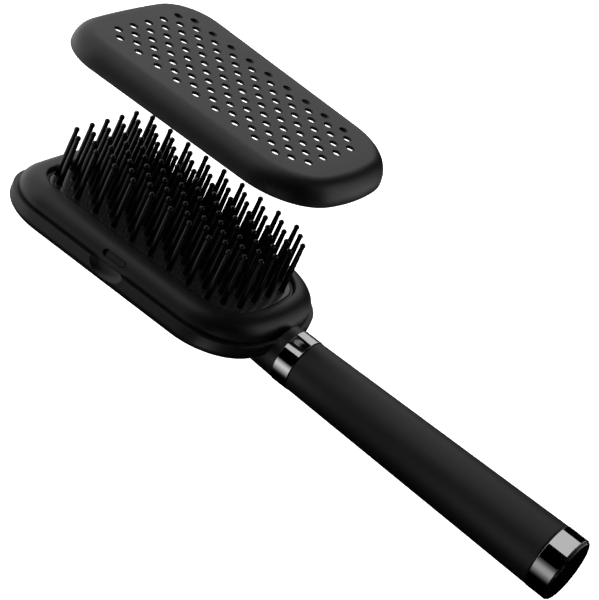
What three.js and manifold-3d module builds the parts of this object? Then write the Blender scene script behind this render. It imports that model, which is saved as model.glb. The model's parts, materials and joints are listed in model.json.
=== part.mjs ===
// Paddle hair brush with a perforated cover that lifts off its pins to clean them.
// Millimetres. +X runs from the free end of the head to the end of the handle,
// +Z is the way the pins stand, and the origin is the middle of the head's flat back.

import * as THREE from 'three';
import { mergeVertices } from 'three/addons/utils/BufferGeometryUtils.js';
import Module from 'manifold-3d';

const wasm = await Module();
wasm.setup();

// Fits
const seatGap = 0.3;          // left between two pieces that touch
const slideGap = 0.6;         // between the cover's skirt and the bezel's wall
const overcut = 1;            // a cutter reaches beyond the face that it opens by this much

// Plan of the head, at its widest line
const rim = {
  freeX: -62.7,               // free end
  handleX: 65.3,              // end at the handle
  halfWidth: 41.5,            // at widestX
  widestX: -13.5,
  taper: 0.031,               // the sides draw in by this much per mm towards the handle
  freeCorner: 22.5,           // corner radii
  handleCorner: 28,
  freeBow: 440,               // radii of the two end arcs
  handleBow: 100,
};

// Plan of the flat patch that the head's back lies on
const backPatch = {
  freeX: -37,
  handleX: 39.5,
  halfWidth: 15.5,
  widestX: -13.5,
  taper: 0.031,
  freeCorner: 9,
  handleCorner: 9,
  freeBow: 300,
  handleBow: 80,
};

// Steps of each outline, from the axis to the axis on one side
const freeBowSteps = 2;
const cornerSteps = 5;
const handleBowSteps = 3;

// Back shell
const ledgeZ = 13.4;          // where the bezel and the cover's rim come down
const dishZ = 9.6;            // the side wall turns into the dished back here
const ledgeChamfer = 0.8;
const ledgeWidth = 3.8;
const shellWall = 2.4;
const dishSteps = 6;

// Finger scoops under the cover's rim, one on each long side: hollows with the shape of an ellipsoid
const scoopX = 0.3;
const scoopHalfLength = 8.8;
const scoopDepth = 3.74;
const scoopDrop = 5.6;
const scoopOut = 1.0;         // its centre lies outside the rim by this much, at the ledge's height
const scoopSegments = 16;

// Bezel
const bezelWallTopZ = 14.4;
const shoulderRun = 8;        // the rounded shoulder goes in by this much
const shoulderRise = 7.6;
const shoulderSteps = 5;
const innerSteps = 3;
const bezelWall = 1.8;
const lipRound = 0.4;
const lipWidth = 1.3;         // from the crest to the opening
const lipUnderZ = 18.3;
const footFlange = 3.4;       // reaches in under the chassis plate
const footThickness = 1.8;
const footStep = 1.2;

// Catch between bezel and cover, at the middle of both long sides
const catchX = 0.7;
const catchZ = 17.3;
const pocketLength = 11.4;
const pocketHeight = 3.1;
const pocketDepth = 0.7;      // square to the bezel's shoulder
const catchLength = 9;
const catchHeight = 1.6;
const catchClearance = 0.15;
const pocketArcSteps = 6;

// Pin bed and its seal
const bedTopZ = 20.0;
const bedThickness = 4.0;
const bedFlangeThickness = 2.0;
const bedFlangeReach = 4.4;   // beyond the raised bed, under the bezel's lip
const sealWidth = 1.0;
const sealTopZ = 20.6;

// Pins
const rowStep = 5;
const rowCount = 20;
const pinStep = 10;           // along a row
const shortRowPins = 5;       // rows alternate between this many pins and one more
const lastRowPins = 4;
const edgePinInset = 15.6;    // the outermost pins follow the tapered sides
const pinHeight = 23.65;
const pinFootRadius = 1.4;
const pinFootHeight = 3.5;
const pinShaftRadius = 1.25;
const pinNeckRadius = 0.97;
const ballRadius = 1.17;
const ballTipRadius = 0.5;
const pinSides = 5;
const pinRoot = 0.6;          // depth that a pin is moulded into the bed

// Cleaning cover
const coverPlate = 1.1;
const padThickness = 1.4;     // of the plate where the holes are
const padInset = 12.2;
const coverSkirt = 1.5;
const coverDepth = 9.7;
const coverShoulderRun = 7.6;
const coverShoulderRise = 9.2;
const coverRimChamfer = 0.3;
const coverHoleRadius = 1.8;
const coverHoleSides = 8;
const coverLift = 66.5;        // how far it is held above its seat

// Chassis plate, its posts and screws
const chassisThickness = 2.6;
const chassisInset = 6.0;
const chassisWindow = { length: 26, width: 15, corner: 3, x: [-28, 16] };
const postRadius = 3.2;
const postRows = [
  { x: -45, inset: 22.5 },    // in from the rim's sides
  { x: -4, inset: 14.2 },
  { x: 39, inset: 19.9 },
];
const postRootZ = 2.4;
const screwRadius = 1.2;
const screwHeadRadius = 2.6;
const screwHeadHeight = 1.5;
const bedScrewLength = 8;
const coreScrewLength = 8;
const pilotFloor = 1.2;       // left under a pilot hole

// Neck and handle, turned about an axis at handleZ
const handleZ = 7.95;
const neckRootX = 40;
const neckRootRadius = 7.2;
const neckFullX = 55.5;
const neckRadius = 10.7;
const neckEndX = 69.3;
const neckEndRadius = 11.3;
const socketDepth = 2.9;
const collarLength = 7.3;
const collarRadius = 11.5;
const gripLength = 122.3;
const gripStartRadius = 11.3;
const gripEndRadius = 13.65;
const gripRound = 0.6;
const endRingLength = 8.7;
const endRingRadius = 13.8;
const ringChamfer = 0.3;
const capRadius = 13.4;
const capCrown = 1.7;
const capSteps = 3;
const coreRadius = 9.0;
const coreBore = 7.0;
const coreWeb = 3;
const coreShort = 3.2;        // the core stops this far inside the end ring
const tongueLength = 29;
const tongueWidth = 15;
const tongueTopZ = 10.4;
const tongueBottomZ = 4.9;
const tongueScrewX = [43, 54];
const plugDepth = 9;
const plugFlange = 1.5;
const plugChamfer = 1;
const plugBore = 3.3;
const capStem = 8;
const turnSegments = 32;
const smallSegments = 10;

// Derived places
const bezelInset = coverSkirt + slideGap;
const crestInset = bezelInset + shoulderRun;
const openingInset = crestInset + lipWidth;
const crestZ = bezelWallTopZ + shoulderRise;
const bezelSeatZ = ledgeZ + seatGap;
const bedInset = openingInset + seatGap + sealWidth + seatGap;
const bedBottomZ = bedTopZ - bedThickness;
const chassisTopZ = bedBottomZ - seatGap;
const chassisBottomZ = chassisTopZ - chassisThickness;
const postTopZ = chassisBottomZ - seatGap;
const coverRimZ = ledgeZ + seatGap;
const coverTopZ = coverRimZ + coverDepth;
const coverShoulderZ = coverTopZ - coverShoulderRise;
const sleeveBore = coreRadius + seatGap;
const collarX = neckEndX + seatGap;
const gripX = collarX + collarLength + seatGap;
const endRingX = gripX + gripLength + seatGap;
const capX = endRingX + endRingLength + seatGap;
const coreX = neckEndX - socketDepth + seatGap;
const coreEndX = endRingX + endRingLength - coreShort;
const plugX = coreEndX + seatGap;

const lerp = (a, b, s) => a + (b - a) * s;

// Half width of the head at x along its straight sides, moved in by inset
function sideY(x, inset) {
  return rim.halfWidth - rim.taper * (x - rim.widestX) - inset * Math.hypot(1, rim.taper);
}

// Places of the bed screws and their posts, one on each side in every row
const postPlaces = postRows.flatMap(({ x, inset }) => [[x, sideY(x, inset)], [x, -sideY(x, inset)]]);

// Centre of the corner arc that touches the tapered side and an end arc from inside
function cornerCentre(plan, radius, endX, bow, sign) {
  const length = Math.hypot(1, plan.taper);
  const along = new THREE.Vector2(1, -plan.taper).divideScalar(length);
  const out = new THREE.Vector2(plan.taper, 1).divideScalar(length);
  const start = new THREE.Vector2(plan.widestX, plan.halfWidth).addScaledVector(out, -radius);
  const centre = new THREE.Vector2(endX - sign * bow, 0);
  const offset = start.clone().sub(centre);
  const b = offset.dot(along);
  const c = offset.lengthSq() - (bow - radius) ** 2;
  return start.addScaledVector(along, -b + sign * Math.sqrt(b * b - c));
}

// Closed outline of a head plan, moved in by inset: every arc keeps its centre
function outline(plan, inset = 0) {
  const side = Math.atan2(1, plan.taper);
  const freeCentre = new THREE.Vector2(plan.freeX + plan.freeBow, 0);
  const handleCentre = new THREE.Vector2(plan.handleX - plan.handleBow, 0);
  const first = cornerCentre(plan, plan.freeCorner, plan.freeX, plan.freeBow, -1);
  const second = cornerCentre(plan, plan.handleCorner, plan.handleX, plan.handleBow, 1);
  const freeTurn = first.clone().sub(freeCentre).angle();
  const handleTurn = second.clone().sub(handleCentre).angle();
  const half = [];
  const arc = (centre, radius, from, to, steps, skip) => {
    for (let k = skip; k <= steps; k++) {
      const a = lerp(from, to, k / steps);
      half.push(new THREE.Vector2(Math.cos(a), Math.sin(a)).multiplyScalar(radius - inset).add(centre));
    }
  };
  arc(freeCentre, plan.freeBow, Math.PI, freeTurn, freeBowSteps, 0);
  arc(first, plan.freeCorner, freeTurn, side, cornerSteps, 1);
  arc(second, plan.handleCorner, side, handleTurn, cornerSteps, 0);
  arc(handleCentre, plan.handleBow, handleTurn, 0, handleBowSteps, 1);
  const mirrored = half.slice(1, -1).reverse().map((p) => new THREE.Vector2(p.x, -p.y));
  return [...half, ...mirrored].reverse();
}

const ringAt = (points, z) => points.map((p) => new THREE.Vector3(p.x, p.y, z));
const rimRing = (inset, z) => ringAt(outline(rim, inset), z);

// Turns vertices and triangles into a geometry, facing out
function geometryFrom(points, triangles) {
  let volume = 0;
  for (const [a, b, c] of triangles) {
    volume += points[a].dot(new THREE.Vector3().crossVectors(points[b], points[c]));
  }
  const facing = volume > 0 ? triangles : triangles.map(([a, b, c]) => [a, c, b]);
  const geometry = new THREE.BufferGeometry();
  geometry.setAttribute('position', new THREE.Float32BufferAttribute(points.flatMap((p) => p.toArray()), 3));
  geometry.setIndex(facing.flat());
  return geometry;
}

// Skin between rings of equal count; loop joins the last ring to the first, otherwise both ends are capped
function skin(rings, loop = false) {
  const count = rings[0].length;
  const triangles = [];
  const bands = loop ? rings.length : rings.length - 1;
  for (let r = 0; r < bands; r++) {
    const low = r * count;
    const high = ((r + 1) % rings.length) * count;
    for (let k = 0; k < count; k++) {
      const next = (k + 1) % count;
      triangles.push([low + k, low + next, high + next], [low + k, high + next, high + k]);
    }
  }
  if (!loop) {
    const last = (rings.length - 1) * count;
    const cap = (ring) => THREE.ShapeUtils.triangulateShape(ring.map((p) => new THREE.Vector2(p.x, p.y)), []);
    for (const [a, b, c] of cap(rings[0])) triangles.push([a, c, b]);
    for (const [a, b, c] of cap(rings.at(-1))) triangles.push([last + a, last + b, last + c]);
  }
  return geometryFrom(rings.flat(), triangles);
}

// Frame that follows the rim, from a section of [inset, z] points
const frameOf = (section) => skin(section.map(([inset, z]) => rimRing(inset, z)), true);

// Plug that follows the rim, from [inset, z] points listed upwards
const plugOf = (levels) => skin(levels.map(([inset, z]) => rimRing(inset, z)));

// Turned piece about the X axis, from [x, radius] points
function turned(profile, segments = turnSegments) {
  const points = profile.map(([x, radius]) => new THREE.Vector2(radius, x));
  return new THREE.LatheGeometry(points, segments).rotateZ(-Math.PI / 2);
}

// Upright cylinder from its floor to its top
function post(x, y, radius, floor, top, segments = smallSegments) {
  const shape = new THREE.CylinderGeometry(radius, radius, top - floor, segments);
  return shape.rotateX(Math.PI / 2).translate(x, y, (floor + top) / 2);
}

function block(from, to) {
  const size = to.map((value, k) => value - from[k]);
  return new THREE.BoxGeometry(...size).translate(...from.map((value, k) => value + size[k] / 2));
}

function solid(geometry) {
  const plain = geometry.clone();
  plain.deleteAttribute('normal');
  plain.deleteAttribute('uv');
  const merged = mergeVertices(plain, 1e-5);
  return new wasm.Manifold(new wasm.Mesh({
    numProp: 3,
    vertProperties: Float32Array.from(merged.attributes.position.array),
    triVerts: Uint32Array.from(merged.index.array),
  }));
}

const join = (...geometries) => geometries.map(solid).reduce((a, b) => a.add(b));
const cut = (body, tools) => tools.reduce((a, tool) => a.subtract(solid(tool)), body);

function geometryOf(body) {
  const { vertProperties, triVerts, numProp } = body.getMesh();
  const geometry = new THREE.BufferGeometry();
  const positions = [];
  for (let k = 0; k < vertProperties.length; k += numProp) {
    positions.push(vertProperties[k], vertProperties[k + 1], vertProperties[k + 2]);
  }
  geometry.setAttribute('position', new THREE.Float32BufferAttribute(positions, 3));
  geometry.setIndex(Array.from(triVerts));
  geometry.computeVertexNormals();
  return geometry;
}

// Points of a quarter ellipse in [inset, z], from the wall up to the crest
function shoulder(wallInset, wallTopZ, run, rise, steps, end = Math.PI / 2) {
  const points = [];
  for (let k = 0; k <= steps; k++) {
    const a = (end * k) / steps;
    points.push([wallInset + run * (1 - Math.cos(a)), wallTopZ + rise * Math.sin(a)]);
  }
  return points;
}

// Rings of the dished back: the outline shrinks from the wall's to the patch's along a quarter ellipse
function dishRings(wallInset, patchInset, wallZ, floorZ) {
  const wall = outline(rim, wallInset);
  const patch = outline(backPatch, patchInset);
  const rings = [];
  for (let k = dishSteps; k >= 0; k--) {
    const a = (Math.PI / 2) * (k / dishSteps);
    const s = 1 - Math.cos(a);
    const blend = wall.map((p, i) => p.clone().lerp(patch[i], s));
    rings.push(ringAt(blend, wallZ - (wallZ - floorZ) * Math.sin(a)));
  }
  return rings;
}

// Places of the pins and of the holes that they come through
function pinPlaces() {
  const places = [];
  for (let row = 0; row < rowCount; row++) {
    const x = (row - (rowCount - 1) / 2) * rowStep;
    const inRow = row === rowCount - 1 ? lastRowPins : shortRowPins + (row % 2);
    const limit = sideY(x, edgePinInset);
    for (let k = 0; k < inRow; k++) {
      const y = (k - (inRow - 1) / 2) * pinStep;
      places.push([x, THREE.MathUtils.clamp(y, -limit, limit)]);
    }
  }
  return places;
}

// The pieces at the two long sides are made for the far side and turned to follow its taper
function atSide(geometry, side, x, inset, z) {
  geometry.rotateZ(-Math.atan(rim.taper)).translate(x, sideY(x, inset), z);
  return side > 0 ? geometry : mirrorY(geometry);
}

function mirrorY(geometry) {
  const mirrored = geometry.index ? geometry.toNonIndexed() : geometry.clone();
  mirrored.scale(1, -1, 1);
  const position = mirrored.attributes.position;
  for (let k = 0; k < position.count; k += 3) {
    const second = new THREE.Vector3().fromBufferAttribute(position, k + 1);
    const third = new THREE.Vector3().fromBufferAttribute(position, k + 2);
    position.setXYZ(k + 1, third.x, third.y, third.z);
    position.setXYZ(k + 2, second.x, second.y, second.z);
  }
  return mirrored;
}

// Round-ended slot cutter, lying along X and reaching from y 0 outwards
function slotCutter(length, height, depth) {
  const radius = height / 2;
  const half = length / 2 - radius;
  const shape = new THREE.Shape();
  shape.absarc(half, 0, radius, -Math.PI / 2, Math.PI / 2, false);
  shape.absarc(-half, 0, radius, Math.PI / 2, Math.PI * 1.5, false);
  const settings = { depth, bevelEnabled: false, curveSegments: pocketArcSteps };
  return new THREE.ExtrudeGeometry(shape, settings).rotateX(Math.PI / 2).translate(0, depth, 0);
}

// Cutter of a finger scoop that stops at the bezel's wall, at y 0
function scoopCutter() {
  const bowl = new THREE.SphereGeometry(1, scoopSegments, scoopSegments / 2);
  bowl.scale(scoopHalfLength, scoopDepth, scoopDrop).translate(0, bezelInset + scoopOut, 0);
  const outside = block([-scoopHalfLength, 0, -scoopDrop], [scoopHalfLength, 2 * scoopDepth, scoopDrop]);
  return geometryOf(solid(bowl).intersect(solid(outside)));
}

// Inset and tilt of the bezel's shoulder at a height
function shoulderAt(z) {
  const rise = (z - bezelWallTopZ) / shoulderRise;
  const cosine = Math.sqrt(1 - rise * rise);
  const inset = bezelInset + shoulderRun * (1 - cosine);
  return { inset, tilt: Math.atan((shoulderRun * rise) / (shoulderRise * cosine)) };
}

function backShell() {
  const outer = skin([
    ...dishRings(0, 0, dishZ, 0),
    rimRing(0, ledgeZ - ledgeChamfer),
    rimRing(ledgeChamfer, ledgeZ),
  ]);
  const cavity = skin([
    ...dishRings(ledgeWidth, 0, dishZ, shellWall),
    rimRing(ledgeWidth, ledgeZ + overcut),
  ]);
  const neck = turned([
    [neckRootX, 0], [neckRootX, neckRootRadius], [neckFullX, neckRadius],
    [neckEndX, neckEndRadius], [neckEndX, 0],
  ]).translate(0, 0, handleZ);
  const overLedge = skin([rimRing(-seatGap, ledgeZ), rimRing(-seatGap, handleZ + 2 * neckEndRadius)]);
  const socket = turned([
    [neckEndX - socketDepth, 0], [neckEndX - socketDepth, sleeveBore],
    [neckEndX + overcut, sleeveBore], [neckEndX + overcut, 0],
  ]).translate(0, 0, handleZ);
  const slotHalf = tongueWidth / 2 + seatGap;
  const tongueSlot = block(
    [neckRootX - overcut, -slotHalf, tongueBottomZ - seatGap],
    [neckEndX - socketDepth + overcut, slotHalf, tongueTopZ + seatGap],
  );
  const tub = join(outer, neck).subtract(solid(overLedge)).subtract(solid(cavity));
  const posts = [];
  const pilots = [];
  for (const [x, y] of postPlaces) {
    posts.push(post(x, y, postRadius, postRootZ, postTopZ));
    pilots.push(post(x, y, screwRadius + seatGap, postRootZ + pilotFloor, postTopZ + overcut));
  }
  const seatZ = tongueBottomZ - seatGap;
  for (const x of tongueScrewX) {
    posts.push(post(x, 0, postRadius, shellWall / 2, seatZ));
    pilots.push(post(x, 0, screwRadius + seatGap, pilotFloor, seatZ + overcut));
  }
  const scoops = [1, -1].map((side) => atSide(scoopCutter(), side, scoopX, bezelInset, ledgeZ));
  const braced = posts.reduce((body, one) => body.add(solid(one)), tub);
  return geometryOf(cut(braced, [socket, tongueSlot, ...pilots, ...scoops]));
}

function frontBezel() {
  const footInset = ledgeWidth + seatGap;
  const footTopZ = postTopZ;
  const footBottomZ = footTopZ - footThickness;
  const innerRun = shoulderRun - bezelWall;
  const innerRise = shoulderRise - bezelWall;
  const lipTurn = Math.asin((lipUnderZ - bezelWallTopZ) / innerRise);
  const inner = shoulder(bezelInset + bezelWall, bezelWallTopZ, innerRun, innerRise, innerSteps, lipTurn);
  const section = [
    [bezelInset, bezelSeatZ],
    ...shoulder(bezelInset, bezelWallTopZ, shoulderRun, shoulderRise, shoulderSteps),
    [openingInset - lipRound, crestZ - lipRound / 2],
    [openingInset, crestZ - 2 * lipRound],
    [openingInset, lipUnderZ],
    ...inner.reverse(),
    [footInset + footStep, bezelSeatZ + footStep],
    [footInset + footStep, footTopZ],
    [footInset + footFlange, footTopZ],
    [footInset + footFlange, footBottomZ],
    [footInset, footBottomZ],
    [footInset, bezelSeatZ],
  ];
  const { inset, tilt } = shoulderAt(catchZ);
  const pockets = [1, -1].map((side) => {
    const tool = slotCutter(pocketLength, pocketHeight, pocketDepth + overcut);
    const [inwards, down] = [pocketDepth * Math.cos(tilt), pocketDepth * Math.sin(tilt)];
    return atSide(tool.rotateX(tilt), side, catchX, inset + inwards, catchZ - down);
  });
  return geometryOf(cut(solid(frameOf(section)), pockets));
}

function bedSeal() {
  const outer = openingInset + seatGap;
  const floor = bedBottomZ + bedFlangeThickness + seatGap;
  const section = [
    [outer, floor],
    [outer, sealTopZ - sealWidth / 2],
    [outer + sealWidth / 2, sealTopZ],
    [outer + sealWidth, sealTopZ - sealWidth / 2],
    [outer + sealWidth, floor],
  ];
  return geometryOf(solid(frameOf(section)));
}

function pinShape(x, y) {
  const tip = bedTopZ + pinHeight;
  const levels = [
    [bedTopZ - pinRoot, pinFootRadius],
    [bedTopZ + pinFootHeight, pinShaftRadius],
    [tip - 2 * ballRadius, pinNeckRadius],
    [tip - ballRadius, ballRadius],
    [tip, ballTipRadius],
  ];
  const rings = levels.map(([z, radius]) => {
    const ring = [];
    for (let k = 0; k < pinSides; k++) {
      const a = (2 * Math.PI * k) / pinSides;
      ring.push(new THREE.Vector3(x + radius * Math.cos(a), y + radius * Math.sin(a), z));
    }
    return ring;
  });
  return skin(rings);
}

function pinBed() {
  const flangeInset = bedInset - bedFlangeReach;
  const flangeTopZ = bedBottomZ + bedFlangeThickness;
  const plate = plugOf([
    [flangeInset, bedBottomZ], [flangeInset, flangeTopZ], [bedInset, flangeTopZ], [bedInset, bedTopZ],
  ]);
  return geometryOf(join(plate, ...pinPlaces().map(([x, y]) => pinShape(x, y))));
}

function chassisPlate() {
  const plate = plugOf([[chassisInset, chassisBottomZ], [chassisInset, chassisTopZ]]);
  const tools = [];
  const seat = chassisTopZ - screwHeadHeight - 2 * seatGap;
  for (const [x, y] of postPlaces) {
    tools.push(post(x, y, screwRadius + 2 * seatGap, chassisBottomZ - overcut, chassisTopZ + overcut));
    tools.push(post(x, y, screwHeadRadius + seatGap, seat, chassisTopZ + overcut));
  }
  const { length, width, corner } = chassisWindow;
  for (const x of chassisWindow.x) {
    const shape = new THREE.Shape();
    const [a, b] = [length / 2, width / 2];
    shape.absarc(a - corner, b - corner, corner, 0, Math.PI / 2, false);
    shape.absarc(corner - a, b - corner, corner, Math.PI / 2, Math.PI, false);
    shape.absarc(corner - a, corner - b, corner, Math.PI, Math.PI * 1.5, false);
    shape.absarc(a - corner, corner - b, corner, Math.PI * 1.5, Math.PI * 2, false);
    const depth = chassisThickness + 2 * overcut;
    const tool = new THREE.ExtrudeGeometry(shape, { depth, bevelEnabled: false, curveSegments: 3 });
    tools.push(tool.translate(x, 0, chassisBottomZ - overcut));
  }
  return geometryOf(cut(solid(plate), tools));
}

// Pan-head screw with its seat face at z 0 and its point down
function screw(length) {
  const profile = [
    [0, -length], [screwRadius * 0.6, -length], [screwRadius, -length + screwRadius], [screwRadius, 0],
    [screwHeadRadius, 0], [screwHeadRadius, screwHeadHeight / 2],
    [screwHeadRadius * 0.75, screwHeadHeight], [0, screwHeadHeight],
  ].map(([radius, z]) => new THREE.Vector2(radius, z));
  return geometryOf(solid(new THREE.LatheGeometry(profile, smallSegments).rotateX(Math.PI / 2)));
}

function cleaningCover() {
  const outer = plugOf([
    [coverRimChamfer, coverRimZ], [0, coverRimZ + coverRimChamfer],
    ...shoulder(0, coverShoulderZ, coverShoulderRun, coverShoulderRise, shoulderSteps),
  ]);
  const innerRise = coverShoulderRise - coverPlate;
  const innerRun = coverShoulderRun - coverSkirt / 2;
  const hollow = plugOf([
    [coverSkirt, coverRimZ - overcut],
    ...shoulder(coverSkirt, coverShoulderZ, innerRun, innerRise, shoulderSteps),
  ]);
  const catches = [1, -1].map((side) => {
    const bezelHere = shoulderAt(catchZ - catchHeight / 2).inset;
    const reach = bezelHere - catchClearance - coverSkirt / 2;
    const rib = block([-catchLength / 2, 0, -catchHeight / 2], [catchLength / 2, reach, catchHeight / 2]);
    return atSide(rib, side, catchX, coverSkirt / 2 + reach, catchZ);
  });
  const pad = plugOf([[padInset, coverTopZ - padThickness], [padInset, coverTopZ - coverPlate / 2]]);
  const holes = pinPlaces().map(([x, y]) => (
    post(x, y, coverHoleRadius, coverTopZ - padThickness - overcut, coverTopZ + overcut, coverHoleSides)
  ));
  const shell = solid(outer).subtract(solid(hollow)).add(solid(pad));
  const caught = catches.reduce((body, rib) => body.add(solid(rib)), shell);
  return geometryOf(cut(caught, holes));
}

function neckRing() {
  const profile = sleeveProfile(collarX, collarLength, collarRadius, collarRadius, ringChamfer);
  return geometryOf(solid(turned(profile)));
}

// Closed profile of a sleeve over the core, with eased outer corners
function sleeveProfile(x, length, startRadius, endRadius, ease) {
  return [
    [x, sleeveBore], [x, startRadius - ease], [x + ease, startRadius],
    [x + length - ease, endRadius], [x + length, endRadius - ease],
    [x + length, sleeveBore], [x, sleeveBore],
  ];
}

function gripSleeve() {
  const profile = sleeveProfile(gripX, gripLength, gripStartRadius, gripEndRadius, gripRound);
  return geometryOf(solid(turned(profile)));
}

function endRing() {
  const profile = sleeveProfile(endRingX, endRingLength, endRingRadius, endRingRadius, ringChamfer);
  return geometryOf(solid(turned(profile)));
}

function handleCore() {
  const tube = turned([
    [coreX, 0], [coreX, coreRadius], [coreEndX, coreRadius], [coreEndX, coreBore],
    [coreX + coreWeb, coreBore], [coreX + coreWeb, 0],
  ], 24);
  const tongueX = coreX - tongueLength;
  const tongue = block(
    [tongueX, -tongueWidth / 2, tongueBottomZ - handleZ],
    [coreX + coreWeb / 2, tongueWidth / 2, tongueTopZ - handleZ],
  );
  const [holeFloor, holeTop] = [tongueBottomZ - handleZ - overcut, tongueTopZ - handleZ + overcut];
  const holes = tongueScrewX.map((x) => post(x, 0, screwRadius + seatGap, holeFloor, holeTop));
  return geometryOf(cut(join(tube, tongue), holes));
}

function endPlug() {
  const plugRadius = coreBore - seatGap;
  return geometryOf(solid(turned([
    [plugX - plugDepth, plugBore], [plugX - plugDepth, plugRadius - plugChamfer],
    [plugX - plugDepth + plugChamfer, plugRadius], [plugX, plugRadius], [plugX, coreRadius],
    [plugX + plugFlange, coreRadius], [plugX + plugFlange, plugBore], [plugX - plugDepth, plugBore],
  ], 24)));
}

function endCap() {
  const profile = [
    [capX - capStem, 0], [capX - capStem, plugBore - seatGap],
    [plugX + plugFlange + seatGap, plugBore - seatGap], [plugX + plugFlange + seatGap, coreRadius],
    [capX, coreRadius], [capX, capRadius],
  ];
  for (let k = 1; k <= capSteps; k++) {
    const a = (Math.PI / 2) * (k / capSteps);
    profile.push([capX + capCrown * Math.sin(a), capRadius * Math.cos(a) * (k < capSteps ? 1 : 0)]);
  }
  return geometryOf(solid(turned(profile)));
}

// Finishes
const softTouch = { color: 0x1b1b1c, roughness: 0.62, metalness: 0 };
const mouldedBlack = { color: 0x141415, roughness: 0.4, metalness: 0 };
const platedBlack = { color: 0x35363a, roughness: 0.12, metalness: 1 };
const softSeal = { color: 0x101010, roughness: 0.8, metalness: 0 };
const innerPlastic = { color: 0x4a4b4d, roughness: 0.6, metalness: 0 };
const screwSteel = { color: 0xa8abb0, roughness: 0.3, metalness: 1 };

function piece(name, geometry, finish) {
  const mesh = new THREE.Mesh(geometry, new THREE.MeshStandardMaterial(finish));
  mesh.name = name;
  return mesh;
}

const head = new THREE.Group();
head.add(
  piece('back_shell', backShell(), softTouch),
  piece('front_bezel', frontBezel(), softTouch),
  piece('bed_seal', bedSeal(), softSeal),
  piece('pin_bed', pinBed(), mouldedBlack),
  piece('chassis_plate', chassisPlate(), innerPlastic),
);

const screwSeatZ = chassisTopZ - screwHeadHeight - seatGap;
postPlaces.forEach(([x, y], k) => {
  const one = piece(`bed_screw_${k + 1}`, screw(bedScrewLength), screwSteel);
  one.position.set(x, y, screwSeatZ);
  head.add(one);
});
tongueScrewX.forEach((x, k) => {
  const one = piece(`core_screw_${k + 1}`, screw(coreScrewLength), screwSteel);
  one.position.set(x, 0, tongueTopZ + seatGap);
  head.add(one);
});

const handle = new THREE.Group();
handle.position.z = handleZ;
handle.add(
  piece('handle_core', handleCore(), innerPlastic),
  piece('neck_ring', neckRing(), platedBlack),
  piece('grip_sleeve', gripSleeve(), softTouch),
  piece('end_ring', endRing(), platedBlack),
  piece('end_plug', endPlug(), innerPlastic),
  piece('end_cap', endCap(), mouldedBlack),
);

const cover = piece('cleaning_cover', cleaningCover(), softTouch);
cover.position.z = coverLift;

const brush = new THREE.Group();
brush.add(head, handle, cover);

export default brush;
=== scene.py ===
"""Looks of the hair brush with its lift-off cleaning cover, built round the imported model.

Metres. +X runs from the free end of the head to the end of the handle, +Z the way the pins stand.
"""

import json
import math

import bmesh
import bpy
from mathutils import Matrix, Vector


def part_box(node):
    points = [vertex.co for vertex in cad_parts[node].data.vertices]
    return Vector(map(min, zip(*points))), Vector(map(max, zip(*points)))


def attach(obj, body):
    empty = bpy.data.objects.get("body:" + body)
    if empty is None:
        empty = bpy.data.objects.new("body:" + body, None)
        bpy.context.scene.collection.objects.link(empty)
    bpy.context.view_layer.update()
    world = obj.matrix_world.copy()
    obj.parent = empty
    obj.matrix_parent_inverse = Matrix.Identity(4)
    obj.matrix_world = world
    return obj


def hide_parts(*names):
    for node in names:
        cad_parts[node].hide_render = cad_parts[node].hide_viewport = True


bl_info = {
    "name": "Hair brush with cleaning cover",
    "version": (1, 0, 0),
    "blender": (4, 5, 0),
    "location": "View3D > Sidebar > Brush",
    "description": "Builds the finished pieces of the brush round its construction model",
    "category": "Add Mesh",
}

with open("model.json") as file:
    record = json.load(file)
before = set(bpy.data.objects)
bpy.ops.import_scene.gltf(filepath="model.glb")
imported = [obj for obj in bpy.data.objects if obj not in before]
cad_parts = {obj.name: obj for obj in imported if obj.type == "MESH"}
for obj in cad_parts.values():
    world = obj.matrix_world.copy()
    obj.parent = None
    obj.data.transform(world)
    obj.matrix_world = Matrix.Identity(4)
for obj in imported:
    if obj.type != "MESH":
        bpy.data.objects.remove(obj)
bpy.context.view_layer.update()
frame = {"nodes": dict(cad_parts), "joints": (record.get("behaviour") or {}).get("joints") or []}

MM = 0.001
SEAT_GAP = 0.3 * MM  # left between two pieces that touch
VISIBLE_GAP = 0.12 * MM  # what shows of it between the finished pieces
OVERCUT = 1 * MM  # a cutter reaches this far beyond what it opens
JOIN = 0.1 * MM  # a shape reaches this far into one that it is joined to
SLIVER = 0.02 * MM  # keeps two faces from lying in one plane
RIM_STEPS = (8, 20, 24, 12)  # along half of the rim: free end, each corner, side, handle end
LIFT = -frame["joints"][0]["range_m"][0]  # the cover's height above its seat at rest
HOLD = 2.2  # a row of points this many roundings from an edge keeps the shading of a long flat even

COVER_LOW, COVER_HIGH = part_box("cleaning_cover")
BEZEL_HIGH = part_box("front_bezel")[1]
BED_LOW, BED_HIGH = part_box("pin_bed")
SEAL_LOW, SEAL_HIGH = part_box("bed_seal")
SHELL_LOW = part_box("back_shell")[0]
COLLAR_LOW, COLLAR_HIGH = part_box("neck_ring")
GRIP_LOW, GRIP_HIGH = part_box("grip_sleeve")
END_LOW, END_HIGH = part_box("end_ring")
CAP_LOW, CAP_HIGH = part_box("end_cap")

RIM_SEAT_Z = COVER_LOW.z - LIFT  # underside of the cover's rim when it is on
LEDGE_Z = RIM_SEAT_Z - SEAT_GAP
HANDLE_Z = (COLLAR_LOW.z + COLLAR_HIGH.z) / 2
NECK_END_X = COLLAR_LOW.x - SEAT_GAP


def length(name, description, millimetres):
    """A size in metres whose default is written in millimetres."""
    return bpy.props.FloatProperty(
        name=name, description=description, default=millimetres * MM, unit="LENGTH", precision=5
    )


def colour(name, description, value):
    return bpy.props.FloatVectorProperty(
        name=name, description=description, default=value, size=3, subtype="COLOR", min=0, max=1
    )


def share(name, description, value):
    return bpy.props.FloatProperty(
        name=name, description=description, default=value, min=0, max=1, subtype="FACTOR"
    )


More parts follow.
